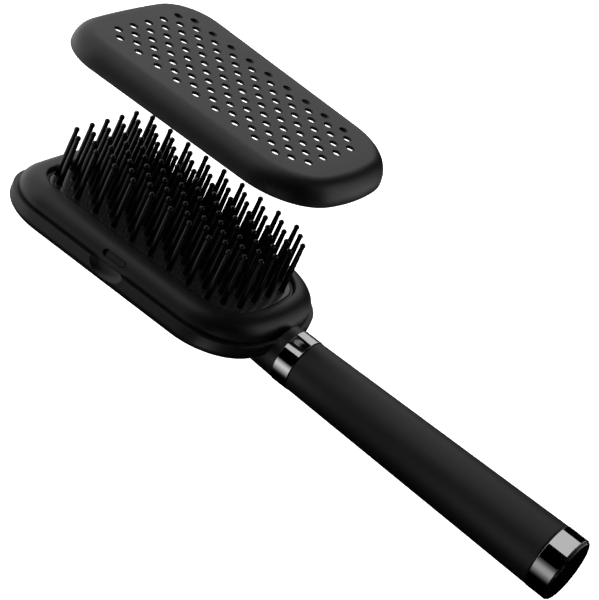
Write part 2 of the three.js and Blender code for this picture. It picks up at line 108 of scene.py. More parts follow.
class HeadSizes(bpy.types.PropertyGroup):
    """Sizes of the head, its bezel and its pin bed."""

    half_width: length("Half width", "Half the head's width at its widest line", 41.5)
    widest_x: length("Widest line", "Where the half width is measured", -13.5)
    taper: bpy.props.FloatProperty(
        name="Taper", description="How fast the sides draw in towards the handle", default=0.031
    )
    free_corner: length("Free-end corner", "Corner radius at the free end", 22.5)
    handle_corner: length("Handle-end corner", "Corner radius at the handle end", 28)
    free_bow: length("Free-end bow", "Radius of the free end's arc", 440)
    handle_bow: length("Handle-end bow", "Radius of the handle end's arc", 100)
    dish_z: length("Dish height", "Where the side wall turns into the back", 9.6)
    ledge_round: length("Ledge edge", "Rounding of the ledge's outer edge", 0.35)
    ledge_width: length("Ledge width", "From the rim to the cavity", 3.8)
    shell_wall: length("Shell wall", "Thickness of the back", 2.4)
    patch_x: length("Patch place", "Middle of the back's flat patch", 1)
    patch_long: share("Patch length", "Of the flat patch, as a share of the head's", 0.6)
    patch_wide: share("Patch width", "Of the flat patch, as a share of the head's", 0.37)
    scoop_x: length("Scoop place", "Middle of the finger scoop along the head", 0.3)
    scoop_half: length("Scoop half length", "Half the length of the finger scoop", 8.8)
    scoop_depth: length("Scoop depth", "From the scoop's centre inwards", 3.74)
    scoop_drop: length("Scoop drop", "From the ledge downwards", 5.6)
    scoop_out: length("Scoop centre", "From the rim out to the scoop's centre", 1.0)
    bezel_inset: length("Bezel inset", "From the rim to the bezel's wall", 2.1)
    bezel_wall_z: length("Bezel wall top", "Where the bezel's wall turns in", 14.4)
    shoulder_run: length("Shoulder run", "How far the bezel's shoulder goes in", 8)
    bezel_wall: length("Bezel wall", "Thickness of the bezel", 1.8)
    lip_width: length("Lip width", "From the bezel's crest to its opening", 1.3)
    lip_under_z: length("Lip underside", "Height of the lip's underside", 18.3)
    catch_x: length("Catch place", "Middle of the catch along the head", 0.7)
    catch_z: length("Catch height", "Height of the catch recess", 17.3)
    pocket_length: length("Catch recess length", "Length of the recess in the bezel", 11.4)
    pocket_height: length("Catch recess height", "Height of the recess in the bezel", 3.1)
    pocket_depth: length("Catch recess depth", "Square to the shoulder", 0.7)
    pocket_groove: length("Catch recess groove", "Width of the groove round the recess's floor", 0.36)
    pit_depth: length("Pit depth", "Of the recess's end towards the free end", 1.4)
    pit_length: length("Pit length", "Length of that end", 1.3)
    catch_length: length("Catch length", "Length of the rib inside the cover", 9)
    catch_height: length("Catch height of rib", "Height of the rib inside the cover", 1.6)
    bed_top_z: length("Bed height", "Height of the pin bed's top", 20.0)
    seal_width: length("Seal width", "Width of the ring round the bed", 1.0)
    seal_sink: length("Seal sink", "How far the ring is pressed in", 0.8)


class PinSizes(bpy.types.PropertyGroup):
    """Sizes and count of the pins."""

    row_step: length("Row step", "Distance between two rows", 5)
    rows: bpy.props.IntProperty(name="Rows", description="Rows of pins", default=20, min=1)
    pin_step: length("Pin step", "Distance between two pins of a row", 10)
    short_row: bpy.props.IntProperty(
        name="Short row", description="Pins in every other row, one more in the rest", default=5, min=1
    )
    last_row: bpy.props.IntProperty(
        name="Last row", description="Pins in the row at the handle", default=4, min=1
    )
    edge_inset: length("Edge inset", "From the rim to the outermost pins", 15.6)
    foot_radius: length("Foot radius", "Radius of a pin at the bed", 1.4)
    foot_height: length("Foot height", "Height of the conical foot", 3.5)
    shaft_radius: length("Shaft radius", "Radius of a pin above its foot", 1.25)
    neck_radius: length("Neck radius", "Radius of a pin under its ball", 0.97)
    ball_radius: length("Ball radius", "Radius of the ball tip", 1.17)
    hole_radius: length("Hole radius", "Radius of the cover's holes", 1.8)


class CoverSizes(bpy.types.PropertyGroup):
    """Sizes of the cleaning cover."""

    plate: length("Plate", "Thickness of the perforated plate", 1.1)
    pad: length("Pad", "Thickness of the plate where the holes are", 1.25)
    pad_inset: length("Pad inset", "From the rim to the pad", 12.2)
    skirt: length("Skirt", "Thickness of the skirt", 1.5)
    shoulder_run: length("Shoulder run", "How far the shoulder goes in", 7.6)
    shoulder_rise: length("Shoulder rise", "How far the shoulder goes up", 9.2)
    rim_round: length("Rim edge", "Rounding of the rim's edges", 0.3)
    hole_chamfer: length("Hole edge", "Chamfer round each hole", 0.12)


class HandleSizes(bpy.types.PropertyGroup):
    """Sizes of the neck and the handle."""

    neck_root_x: length("Neck root", "Where the neck starts inside the head", 40)
    neck_wall: length("Neck wall", "Thickness of the neck at its root", 3)
    neck_root_radius: length("Neck root radius", "Radius of the neck at its root", 7.2)
    neck_full_x: length("Neck shoulder", "Where the neck has its full radius", 55.5)
    neck_radius: length("Neck radius", "Radius of the neck at its shoulder", 10.7)
    neck_blend: length("Neck blend", "Rounding of the neck at its shoulder", 20)
    neck_end_radius: length("Neck end radius", "Radius of the neck at the ring", 11.3)
    socket_x: length("Socket floor", "Where the bore in the neck ends", 58.9)
    bore: length("Bore", "Radius of the sleeves' bore", 9.3)
    grip_start: length("Grip start radius", "Radius of the grip at the neck", 11.3)
    grip_round: length("Grip edge", "Rounding of the grip's ends", 0.6)
    ring_edge: length("Ring edge", "Rounding of the plated rings' edges", 0.12)
    cap_crown: length("Cap crown", "Height of the end cap beyond the ring", 1.7)
    cap_rim: length("Cap rim", "Height at which the crown starts", 0.55)
    stem_radius: length("Stem radius", "Radius of the end cap's stem", 3)


class Finishes(bpy.types.PropertyGroup):
    """Colours and gloss of the finishes."""

    soft_black: colour("Soft-touch black", "Coated body parts", (0.0012, 0.0012, 0.0013))
    soft_roughness: share("Soft-touch roughness", "Of the coated body parts", 0.45)
    pin_black: colour("Pin black", "Moulded pins", (0.002, 0.002, 0.0021))
    pin_roughness: share("Pin roughness", "Of the moulded pins", 0.1)
    # lighter than the pins' black partly as painted light, making up for the shade between the pins
    bed_black_painted_lighter: colour("Bed black", "Bed between the pins", (0.024, 0.024, 0.0245))
    seal_black: colour("Seal black", "Elastomer seal", (0.006, 0.006, 0.006))
    plated: colour("Black chrome", "Plated rings", (0.58, 0.58, 0.585))
    gloss_black: colour("Gloss black", "Polished end cap", (0.0015, 0.0015, 0.0016))
    inner_grey: colour("Inner grey", "Plain inner mouldings", (0.07, 0.072, 0.075))
    steel: colour("Zinc-plated steel", "Screws", (0.55, 0.56, 0.58))


class StudioSettings(bpy.types.PropertyGroup):
    """Floor, lamps and camera."""

    floor_drop: length("Floor drop", "How far the floor lies under the brush", 250)
    ambient: share("Ambient light", "Strength of the surroundings on matt surfaces", 0.28)
    key_power: bpy.props.FloatProperty(
        name="Key lamp", description="Power of the overhead lamp", default=30, min=0
    )
    fill_power: bpy.props.FloatProperty(
        name="Fill lamp", description="Power of the front lamp", default=2, min=0
    )


def head():
    return bpy.context.scene.brush_head


def pins():
    return bpy.context.scene.brush_pins


def lid():
    return bpy.context.scene.brush_cover


def grip():
    return bpy.context.scene.brush_handle


def looks():
    return bpy.context.scene.brush_finishes


def studio():
    return bpy.context.scene.brush_studio


# Outlines and sections


def lerp(a, b, s):
    return a + (b - a) * s


def arc(centre, radius, start, end, steps):
    """Points of an arc, both ends included."""
    return [
        centre + radius * Vector((math.cos(a), math.sin(a)))
        for a in (lerp(start, end, k / steps) for k in range(steps + 1))
    ]


def turn_of(v):
    return math.atan2(v.y, v.x) % (2 * math.pi)


def corner_centre(size, radius, end_x, bow, sign):
    """Centre of the corner arc that touches the tapered side and an end arc from inside."""
    along = Vector((1, -size.taper)).normalized()
    out = Vector((size.taper, 1)).normalized()
    start = Vector((size.widest_x, size.half_width)) - radius * out
    offset = start - Vector((end_x - sign * bow, 0))
    b = offset.dot(along)
    c = offset.length_squared - (bow - radius) ** 2
    return start + along * (sign * math.sqrt(b * b - c) - b)


def rim_outline(inset=0.0):
    """Closed outline of the head, moved in by inset: every arc keeps its centre."""
    size = head()
    free_x, handle_x = COVER_LOW.x, COVER_HIGH.x
    side = math.atan2(1, size.taper)
    free_centre = Vector((free_x + size.free_bow, 0))
    handle_centre = Vector((handle_x - size.handle_bow, 0))
    first = corner_centre(size, size.free_corner, free_x, size.free_bow, -1)
    second = corner_centre(size, size.handle_corner, handle_x, size.handle_bow, 1)
    free_turn = turn_of(first - free_centre)
    handle_turn = turn_of(second - handle_centre)
    free_steps, corner_steps, side_steps, handle_steps = RIM_STEPS
    half = arc(free_centre, size.free_bow - inset, math.pi, free_turn, free_steps)
    half += arc(first, size.free_corner - inset, free_turn, side, corner_steps)[1:]
    corner = arc(second, size.handle_corner - inset, side, handle_turn, corner_steps)
    last = half[-1]
    half += [last.lerp(corner[0], k / side_steps) for k in range(1, side_steps)]
    half += corner
    half += arc(handle_centre, size.handle_bow - inset, handle_turn, 0, handle_steps)[1:]
    return half + [Vector((p.x, -p.y)) for p in reversed(half[1:-1])]


def side_y(x, inset):
    """Half width of the head at x along its straight sides, moved in by inset."""
    size = head()
    return size.half_width - size.taper * (x - size.widest_x) - inset * math.hypot(1, size.taper)


def opening_inset():
    """From the rim to the bezel's opening."""
    size = head()
    return size.bezel_inset + size.shoulder_run + size.lip_width


def rounded(corners, closed=True, steps=4):
    """A section from (u, v, radius) corners, each corner with a radius turned into an arc."""
    points = []
    count = len(corners)
    most = 0.49  # of a straight stretch that one rounding may take up
    for k, (u, v, radius) in enumerate(corners):
        here = Vector((u, v))
        if radius == 0 or (not closed and k in (0, count - 1)):
            points.append(here)
            continue
        before = Vector(corners[k - 1][:2]) - here
        after = Vector(corners[(k + 1) % count][:2]) - here
        half_angle = before.angle(after) / 2
        reach = min(radius / math.tan(half_angle), most * before.length, most * after.length)
        radius = reach * math.tan(half_angle)
        bisector = (before.normalized() + after.normalized()).normalized()
        centre = here + bisector * (radius / math.sin(half_angle))
        start = here + before.normalized() * reach - centre
        end = here + after.normalized() * reach - centre
        sweep = start.angle_signed(end)
        for j in range(steps + 1):
            turned_by = start.copy()
            turned_by.rotate(Matrix.Rotation(-sweep * j / steps, 2))
            points.append(centre + turned_by)
    return points


def quarter(wall_inset, wall_z, run, rise, steps=16, end=math.pi / 2):
    """Quarter ellipse in (inset, z), from the wall up to the crest."""
    return [
        Vector((wall_inset + run * (1 - math.cos(a)), wall_z + rise * math.sin(a)))
        for a in (end * k / steps for k in range(steps + 1))
    ]


# Meshes


def ring_at(points, z):
    return [Vector((p.x, p.y, z)) for p in points]


def rim_ring(inset, z):
    return ring_at(rim_outline(inset), z)


def full_turn(segments):
    """Angles of equal steps all the way round."""
    return [2 * math.pi * k / segments for k in range(segments)]


def skin(rings, loop=False):
    """Vertices and faces between rings of equal count, which closes on itself or ends in two caps."""
    count = len(rings[0])
    faces = []
    for r in range(len(rings) if loop else len(rings) - 1):
        low, high = r * count, ((r + 1) % len(rings)) * count
        for k in range(count):
            after = (k + 1) % count
            faces.append((low + k, low + after, high + after, high + k))
    if not loop:
        last = (len(rings) - 1) * count
        faces.append(tuple(range(count)))
        faces.append(tuple(range(last, last + count)))
    return [p for ring in rings for p in ring], faces


def round_rim(section, loop=False):
    """Shape whose (inset, z) section runs round the head."""
    return skin([rim_ring(p.x, p.y) for p in section], loop)


def joined(parts):
    """One list of vertices and faces from several."""
    points, faces = [], []
    for more_points, more_faces in parts:
        start = len(points)
        points += more_points
        faces += [tuple(start + k for k in face) for face in more_faces]
    return points, faces


def turned(profile, segments):
    """Shape turned about the handle's axis, from (x, radius) points; radius 0 closes it."""
    points, faces = [], []
    rows = []
    for p in profile:
        if p.y == 0:
            rows.append([len(points)])
            points.append(Vector((p.x, 0, HANDLE_Z)))
            continue
        rows.append(list(range(len(points), len(points) + segments)))
        for a in full_turn(segments):
            points.append(Vector((p.x, p.y * math.sin(a), HANDLE_Z + p.y * math.cos(a))))
    closed = len(rows[0]) > 1
    for r in range(len(rows) if closed else len(rows) - 1):
        low, high = rows[r], rows[(r + 1) % len(rows)]
        for k in range(segments):
            after = (k + 1) % segments
            corners = ((low, k), (low, after), (high, after), (high, k))
            face = tuple(dict.fromkeys(row[j % len(row)] for row, j in corners))
            if len(face) > 2:
                faces.append(face)
    return points, faces


def upright(x, y, profile, segments):
    """Shape turned about a vertical line through (x, y), from (radius, z) points, with both caps."""
    turn = full_turn(segments)
    return skin(
        [[Vector((x + r * math.cos(a), y + r * math.sin(a), z)) for a in turn] for r, z in profile]
    )


def mesh_object(name, shape):
    """Object from vertices and faces, with its faces turned outwards."""
    points, faces = shape
    mesh = bpy.data.meshes.new(name)
    mesh.from_pydata([tuple(p) for p in points], [], faces)
    made = bmesh.new()
    made.from_mesh(mesh)
    bmesh.ops.recalc_face_normals(made, faces=made.faces)
    made.to_mesh(mesh)
    made.free()
    piece = bpy.data.objects.new(name, mesh)
    bpy.context.scene.collection.objects.link(piece)
    return piece


def carve(piece, shape, operation="DIFFERENCE"):
    """Cuts or joins another shape with the exact solver and keeps the result as the piece's mesh."""
    tool = mesh_object("tool", shape)
    modifier = piece.modifiers.new("carve", "BOOLEAN")
    modifier.operation = operation
    modifier.solver = "EXACT"
    modifier.object = tool
    graph = bpy.context.evaluated_depsgraph_get()
    result = bpy.data.meshes.new_from_object(piece.evaluated_get(graph))
    piece.modifiers.clear()
    old = piece.data
    piece.data = result
    result.name = piece.name
    bpy.data.meshes.remove(old)
    bpy.data.objects.remove(tool)


def finish_piece(piece, material, node, body="brush", sharp=32):
    """Shades the piece smoothly, with edges above so many degrees kept sharp.

    Gives it its finish and its body, and hides the construction node that it stands for.
    """
    for polygon in piece.data.polygons:
        polygon.use_smooth = True
    piece.data.set_sharp_from_angle(angle=math.radians(sharp))
    piece.data.materials.clear()
    piece.data.materials.append(material)
    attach(piece, body)
    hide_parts(node)


def at_side(shape, side, x, inset, z, tilt=0.0):
    """Moves a shape made round the origin to a long side: turned to follow the taper, after a tilt."""
    points, faces = shape
    turn = Matrix.Rotation(-math.atan(head().taper), 3, "Z") @ Matrix.Rotation(tilt, 3, "X")
    moved = [turn @ p + Vector((x, side_y(x, inset), z)) for p in points]
    return [Vector((p.x, side * p.y, p.z)) for p in moved], faces


def round_slot(half_length, radius, levels, along=0, steps=12):
    """Round-ended slot that lies along X, with a (y, growth) level for each of its rings."""
    rings = []
    for y, growth in levels:
        bow = radius + growth
        end = Vector((half_length - radius, 0))
        right = arc(end, bow, -math.pi / 2, math.pi / 2, steps)
        left = arc(-end, bow, math.pi / 2, 1.5 * math.pi, steps)
        rings.append([Vector((p.x + along, y, p.y)) for p in right + left])
    return skin(rings)


def pin_places():
    """Places of the pins and of the holes that they come through."""
    size = pins()
    places = []
    for row in range(size.rows):
        x = (row - (size.rows - 1) / 2) * size.row_step
        in_row = size.last_row if row == size.rows - 1 else size.short_row + row % 2
        limit = side_y(x, size.edge_inset)
        for k in range(in_row):
            y = (k - (in_row - 1) / 2) * size.pin_step
            places.append((x, max(-limit, min(limit, y))))
    return places


# Materials


class Wire:
    """A shader socket whose arithmetic adds Math nodes."""

    def __init__(self, graph, socket):
        self.graph = graph
        self.socket = socket

    def __add__(self, other):
        return self.graph.math("ADD", self, other)

    def __radd__(self, other):
        return self.graph.math("ADD", other, self)

    def __sub__(self, other):
        return self.graph.math("SUBTRACT", self, other)

    def __rsub__(self, other):
        return self.graph.math("SUBTRACT", other, self)

    def __mul__(self, other):
        return self.graph.math("MULTIPLY", self, other)

    def __rmul__(self, other):
        return self.graph.math("MULTIPLY", other, self)


class Graph:
    """Node tree under construction."""

    def __init__(self, tree):
        tree.nodes.clear()
        self.tree = tree

    def feed(self, socket, value):
        """Links a wire to a socket, or sets the socket to a value."""
        if isinstance(value, Wire):
            self.tree.links.new(value.socket, socket)
        else:
            socket.default_value = value

    def node(self, kind, settings=None, inputs=None, output=0):
        """Adds a node: its settings or its ramp's stops first, then its sockets' values or links."""
        made = self.tree.nodes.new(kind)
        for key, value in (settings or {}).items():
            if key == "stops":
                self.set_stops(made.color_ramp.elements, value)
            else:
                setattr(made, key, value)
        for key, value in (inputs or {}).items():
            self.feed(made.inputs[key], value)
        return Wire(self, made.outputs[output]) if made.outputs else None

    def set_stops(self, elements, stops):
        """Gives a ramp its (place, tone) stops."""
        for k, (place, tone) in enumerate(stops):
            stop = elements[k] if k < len(elements) else elements.new(place)
            stop.position = place
            stop.color = (tone, tone, tone, 1)

    def math(self, operation, first, second):
        return self.node("ShaderNodeMath", {"operation": operation}, {0: first, 1: second})

    def ramp(self, value, *stops):
        """Tone of a value between (place, tone) stops."""
        return self.node("ShaderNodeValToRGB", {"stops": stops}, {0: value})

    def between(self, value, start, end, low=0.0, high=1.0):
        """Goes from low to high as the value goes from start to end, and stays there beyond."""
        return self.node("ShaderNodeMapRange", inputs={0: value, 1: start, 2: end, 3: low, 4: high})

    def mixed(self, mask, first, second):
        """Colour between two colours, as the mask goes from 0 to 1."""
        sockets = {"Factor": mask, 6: first, 7: second}
        return self.node("ShaderNodeMix", {"data_type": "RGBA"}, sockets, output=2)

    def grey(self, value):
        return self.node("ShaderNodeCombineColor", inputs={0: value, 1: value, 2: value})

    def ray(self, kind):
        """1 for rays of this kind."""
        return self.node("ShaderNodeLightPath", output=f"Is {kind} Ray")

    def mirrored(self):
        """1 for rays that show the surroundings in a surface or through one."""
        return self.math("MAXIMUM", self.ray("Glossy"), self.ray("Transmission"))


class Finish(Graph):
    """Material under construction, with its main shader."""

    def __init__(self, name):
        self.material = bpy.data.materials.new(name)
        self.material.use_nodes = True
        super().__init__(self.material.node_tree)
        surface = self.node("ShaderNodeBsdfPrincipled")
        self.shader = surface.socket.node
        self.node("ShaderNodeOutputMaterial", inputs={0: surface})

    def set(self, **values):
        """Feeds the main shader's sockets, named with underscores for spaces."""
        for key, value in values.items():
            self.feed(self.shader.inputs[key.replace("_", " ")], value)

    def place(self):
        """Position on the surface, in metres, as it lies in the mesh."""
        return self.node("ShaderNodeTexCoord", output="Object")

    def axis(self, name):
        """One coordinate of that position."""
        return self.node("ShaderNodeSeparateXYZ", inputs={0: self.place()}, output=name)

    def distance(self, point):
        """Distance of that position from a point."""
        sockets = {0: self.place(), 1: point}
        return self.node("ShaderNodeVectorMath", {"operation": "DISTANCE"}, sockets, output=1)

    def grain(self, per_metre, detail=2.0, roughness=0.5):
        """Noise from 0 to 1 with this many cells per metre."""
        sockets = {"Vector": self.place(), "Scale": per_metre}
        sockets |= {"Detail": detail, "Roughness": roughness}
        return self.node("ShaderNodeTexNoise", inputs=sockets)

    def shaded(self, tint, amount, mask):
        """The colour darkened and lightened by amount as the mask goes from 0 to 1."""
        dark = tuple(c * (1 - amount) for c in tint) + (1,)
        light = tuple(c * (1 + amount) for c in tint) + (1,)
        return self.mixed(mask, dark, light)

    def bumped(self, height, depth):
        """Feeds Normal with bumps of this depth in metres."""
        sockets = {"Strength": 1.0, "Distance": depth, "Height": height}
        self.set(Normal=self.node("ShaderNodeBump", inputs=sockets))


def uneven(name, tint, amount, roughness, depth, tone, gloss=None, relief=None, **fixed):
    """Finish of one tint that noise makes uneven; tone, gloss and relief are what grain takes.

    tone shades the tint by amount, gloss takes the roughness from its first to its second value, and
    relief raises bumps of a depth. The last two are the same noise as tone unless they are given.
    """
    made = Finish(name)
    cloud = made.grain(*tone)
    haze = made.grain(*gloss) if gloss else cloud
    bumps = made.grain(*relief) if relief else cloud
    low, high = roughness
    made.set(Base_Color=made.shaded(tint, amount, cloud), Roughness=low + haze * (high - low), **fixed)
    made.bumped(bumps, depth)
    return made.material


def soft_touch(name, shift=0.0):
    """Matt elastic coating: fine even grain, slightly uneven sheen."""
    middle, spread = looks().soft_roughness + shift, 0.03
    return uneven(
        name, looks().soft_black, amount=0.12, roughness=(middle - spread, middle + spread),
        depth=0.012 * MM, tone=(35, 3), relief=(5200, 1, 0.4), IOR=1.6
    )


def moulded_pins():
    """Nylon: glossy pins on a slightly lighter and less even bed; part of the bed's lighter tone is
    painted light that makes up for the shade between the pins.
    """
    made = Finish("satin_nylon")
    blend_low, blend_high = 0.2 * MM, 0.8 * MM
    top = head().bed_top_z
    on_bed = made.between(made.axis("Z"), top + blend_low, top + blend_high, 1.0, 0.0)
    streaks = made.grain(900, 2)
    pin = made.shaded(looks().pin_black, 0.2, streaks)
    # painted light in part: the bed's tone is raised to make up for the shade that the pins throw on it
    bed = made.shaded(looks().bed_black_painted_lighter, 0.4, made.grain(450, 2))
    made.set(
        Base_Color=made.mixed(on_bed, pin, bed),
        Roughness=looks().pin_roughness + on_bed * 0.1 + streaks * 0.04,
        IOR=1.5,
    )
    made.bumped(streaks, 0.006 * MM)
    return made.material


def elastomer():
    return uneven(
        "matt_elastomer", looks().seal_black, amount=0.25, roughness=(0.4, 0.5),
        depth=0.015 * MM, tone=(3000, 2), IOR=1.55
    )


def black_chrome():
    """Dark plating, almost a mirror, with the faint waviness of a plated moulding."""
    return uneven(
        "black_chrome", looks().plated, amount=0.03, roughness=(0.035, 0.075),
        depth=0.02 * MM, tone=(60, 1), gloss=(700, 3), Metallic=1.0
    )


def polished_black():
    return uneven(
        "polished_black", looks().gloss_black, amount=0.1, roughness=(0.05, 0.1),
        depth=0.006 * MM, tone=(500, 3), relief=(80, 1), IOR=1.5
    )


def plain_moulding():
    """Uncoated inner plastic with spark-eroded grain."""
    return uneven(
        "plain_moulding", looks().inner_grey, amount=0.08, roughness=(0.5, 0.65),
        depth=0.03 * MM, tone=(1600, 3, 0.6), IOR=1.5
    )


def zinc_steel():
    return uneven(
        "zinc_steel", looks().steel, amount=0.08, roughness=(0.25, 0.37),
        depth=0.004 * MM, tone=(900, 2), relief=(4000, 1), Metallic=1.0
    )


# Pieces


class BRUSH_OT_back_shell(bpy.types.Operator):
    """Dished back of the head with its ledge, finger scoops and neck"""

    bl_idname = "brush.back_shell"
    bl_label = "Back shell"

    def execute(self, context):
        size = head()
        ledge = [
            (0, size.dish_z, 0),
            (0, LEDGE_Z - HOLD * size.ledge_round, 0),
            (0, LEDGE_Z, size.ledge_round),
            (size.ledge_width, LEDGE_Z, 0),
        ]
        rings = self.dish(0, 0)
        rings += [rim_ring(p.x, p.y) for p in rounded(ledge, closed=False)[1:]]
        rings += reversed(self.dish(size.ledge_width, size.shell_wall))
        piece = mesh_object("head_back", skin(rings))
        carve(piece, self.throat(), "UNION")
        for side in (1, -1):
            carve(piece, at_side(self.scoop(), side, size.scoop_x, size.bezel_inset, LEDGE_Z))
        finish_piece(piece, soft_touch("soft_touch_back"), "back_shell")
        return {"FINISHED"}

    def throat(self, segments=96):
        """Neck that grows out of the head's wall, with the socket of the handle's core."""
        size, neck = head(), grip()
        end_x = NECK_END_X + SEAT_GAP - VISIBLE_GAP
        edge, hole = 0.3 * MM, 3 * MM
        profile = [
            (neck.neck_root_x, neck.neck_root_radius - neck.neck_wall, 0),
            (neck.neck_root_x, neck.neck_root_radius, 0),
            (neck.neck_full_x, neck.neck_radius, neck.neck_blend),
            (end_x, neck.neck_end_radius, edge),
            (end_x, neck.bore, 0),
            (neck.socket_x, neck.bore, 0),
            (neck.socket_x, hole, 0),
        ]
        made = mesh_object("throat", turned(rounded(profile, steps=8), segments))
        top = HANDLE_Z + neck.neck_end_radius + OVERCUT
        carve(made, skin([rim_ring(-SEAT_GAP, z) for z in (LEDGE_Z - SLIVER, top)]))
        inset = size.ledge_width + JOIN
        hollow = self.dish(inset, size.shell_wall + JOIN)
        carve(made, skin(hollow + [rim_ring(inset, LEDGE_Z + OVERCUT)]))
        points = [v.co.copy() for v in made.data.vertices]
        faces = [tuple(f.vertices) for f in made.data.polygons]
        bpy.data.meshes.remove(made.data)
        return points, faces

    def scoop(self, steps=14, segments=64):
        """Cutter with the shape of an ellipsoid, from the bezel's wall at y 0 out past the rim."""
        size = head()
        centre = size.bezel_inset + size.scoop_out
        past_rim = 1.6 * MM
        rings = []
        for k in range(steps + 1):
            y = lerp(0, size.bezel_inset + past_rim, k / steps)
            part = math.sqrt(1 - ((y - centre) / size.scoop_depth) ** 2)
            across, down = size.scoop_half * part, size.scoop_drop * part
            turn = full_turn(segments)
            rings.append([Vector((across * math.cos(a), y, down * math.sin(a))) for a in turn])
        return skin(rings)

    def dish(self, wall_inset, floor_z, steps=24):
        """Rings from the flat patch of the back up to the wall, along a quarter ellipse."""
        size = head()
        wall = rim_outline(wall_inset)
        patch = [
            Vector((lerp(size.patch_x, p.x, size.patch_long), p.y * size.patch_wide))
            for p in rim_outline()
        ]
        rings = []
        for k in range(steps, -1, -1):
            a = (math.pi / 2) * k / steps
            blend = [p.lerp(q, 1 - math.cos(a)) for p, q in zip(wall, patch)]
            rings.append(ring_at(blend, size.dish_z - (size.dish_z - floor_z) * math.sin(a)))
        return rings


class BRUSH_OT_front_bezel(bpy.types.Operator):
    """Rounded frame round the pins, with its two catch recesses"""

    bl_idname = "brush.front_bezel"
    bl_label = "Front bezel"

    def execute(self, context):
        size = head()
        crest = BEZEL_HIGH.z
        low = LEDGE_Z + VISIBLE_GAP / 2
        wall = size.bezel_inset + size.bezel_wall
        run, rise = size.shoulder_run, crest - size.bezel_wall_z
        inner_run, inner_rise = run - size.bezel_wall, rise - size.bezel_wall
        lip_turn = math.asin((size.lip_under_z - size.bezel_wall_z) / inner_rise)
        opening = opening_inset()
        foot_round, lip_round, lip_fall = 0.15 * MM, 0.7 * MM, 0.1 * MM
        foot = [
            (wall, low, 0),
            (size.bezel_inset, low, foot_round),
            (size.bezel_inset, size.bezel_wall_z, 0),
        ]
        lip = [
            (size.bezel_inset + run, crest, 0),
            (opening, crest - lip_fall, lip_round),
            (opening, size.lip_under_z, 0),
        ]
        section = rounded(foot, closed=False)
        section += quarter(size.bezel_inset, size.bezel_wall_z, run, rise)[1:]
        section += rounded(lip, closed=False, steps=8)[1:]
        section += reversed(quarter(wall, size.bezel_wall_z, inner_run, inner_rise, 8, lip_turn))
        piece = mesh_object("bezel", round_rim(section, loop=True))
        climb = (size.catch_z - size.bezel_wall_z) / rise
        level_part = math.sqrt(1 - climb**2)
        inset = size.bezel_inset + run * (1 - level_part)
        tilt = math.atan(run * climb / (rise * level_part))
        steps = ((self.pocket(), "DIFFERENCE"), (self.pit(), "DIFFERENCE"), (self.pad(), "UNION"))
        for side in (1, -1):
            for shape, operation in steps:
                placed = at_side(shape, side, size.catch_x, inset, size.catch_z, tilt)
                carve(piece, placed, operation)
        finish_piece(piece, soft_touch("soft_touch_bezel"), "front_bezel")
        return {"FINISHED"}

    def pocket(self, edge=0.08 * MM):
        """Round-ended recess with a small chamfer at its mouth."""
        size = head()
        levels = [(-size.pocket_depth, 0), (-edge, 0), (0, edge), (OVERCUT, edge + OVERCUT)]
        return round_slot(size.pocket_length / 2, size.pocket_height / 2, levels)

    def pit(self, mouth=0.05 * MM):
        """Deeper end of the recess, towards the free end."""
        size = head()
        radius = size.pocket_height / 2
        levels = [(-size.pit_depth, 0), (mouth, 0)]
        return round_slot(radius, radius, levels, radius - size.pocket_length / 2)

    def pad(self, sunk=0.12 * MM, edge=0.1 * MM, root=0.4 * MM):
        """Raised floor of the recess, a little under its mouth, with a groove left round it."""
        size = head()
        half = (size.pocket_length - size.pit_length) / 2 - size.pocket_groove
        radius = size.pocket_height / 2 - size.pocket_groove
        levels = [(-size.pocket_depth - root, 0), (-sunk - edge, 0), (-sunk, -edge)]
        return round_slot(half, radius, levels, size.pit_length / 2)


class BRUSH_OT_bed_seal(bpy.types.Operator):
    """Thin elastic ring between the bezel and the pin bed"""

    bl_idname = "brush.bed_seal"
    bl_label = "Bed seal"

    def execute(self, context):
        size = head()
        inner = opening_inset() + VISIBLE_GAP
        outer = inner + size.seal_width + 2 * (SEAT_GAP - VISIBLE_GAP)
        top, edge = SEAL_HIGH.z - size.seal_sink, 0.4 * MM
        corners = [
            (inner, SEAL_LOW.z, 0),
            (inner, top, edge),
            (outer, top, edge),
            (outer, SEAL_LOW.z, 0),
        ]
        piece = mesh_object("seal", round_rim(rounded(corners), loop=True))
        finish_piece(piece, elastomer(), "bed_seal")
        return {"FINISHED"}


class BRUSH_OT_pin_bed(bpy.types.Operator):
    """Bed with its ball-tipped pins, moulded in one piece"""

    bl_idname = "brush.pin_bed"
    bl_label = "Pin bed"

    def execute(self, context):
        size = head()
        top = size.bed_top_z
        inset = opening_inset() + 2 * SEAT_GAP + size.seal_width
        border, edge = 1.2 * MM, 0.35 * MM
        section = [(inset, BED_LOW.z, 0), (inset, top, edge), (inset + border, top, 0)]
        profile = self.profile(top, BED_HIGH.z)
        parts = [round_rim(rounded(section, closed=False))]
        parts += [upright(x, y, profile, 20) for x, y in pin_places()]
        piece = mesh_object("pin_field", joined(parts))
        finish_piece(piece, moulded_pins(), "pin_bed", sharp=40)
        return {"FINISHED"}

    def profile(self, top, tip, steps=6, ball_steps=10, bend=1.8):
        """Pin from its root to its ball tip, as (radius, z); bend keeps its lower half thick."""
        size = pins()
        foot, ball = size.foot_radius, size.ball_radius
        root, flare, flare_rise = 0.6 * MM, 0.3 * MM, 0.4 * MM
        points = [
            (foot + flare, top - root),
            (foot + flare, top + SLIVER),
            (foot + flare / 3, top + 0.3 * flare_rise),
            (foot, top + flare_rise),
        ]
        ball_z = tip - ball
        under_ball = ball_z - 1.15 * ball
        for k in range(steps + 1):
            radius = lerp(size.shaft_radius, size.neck_radius, (k / steps) ** bend)
            points.append((radius, lerp(top + size.foot_height, under_ball, k / steps)))
        start = math.asin(size.neck_radius / ball)
        for k in range(ball_steps):
            a = lerp(start, math.pi, k / ball_steps)
            points.append((ball * math.sin(a), ball_z - ball * math.cos(a)))
        return points


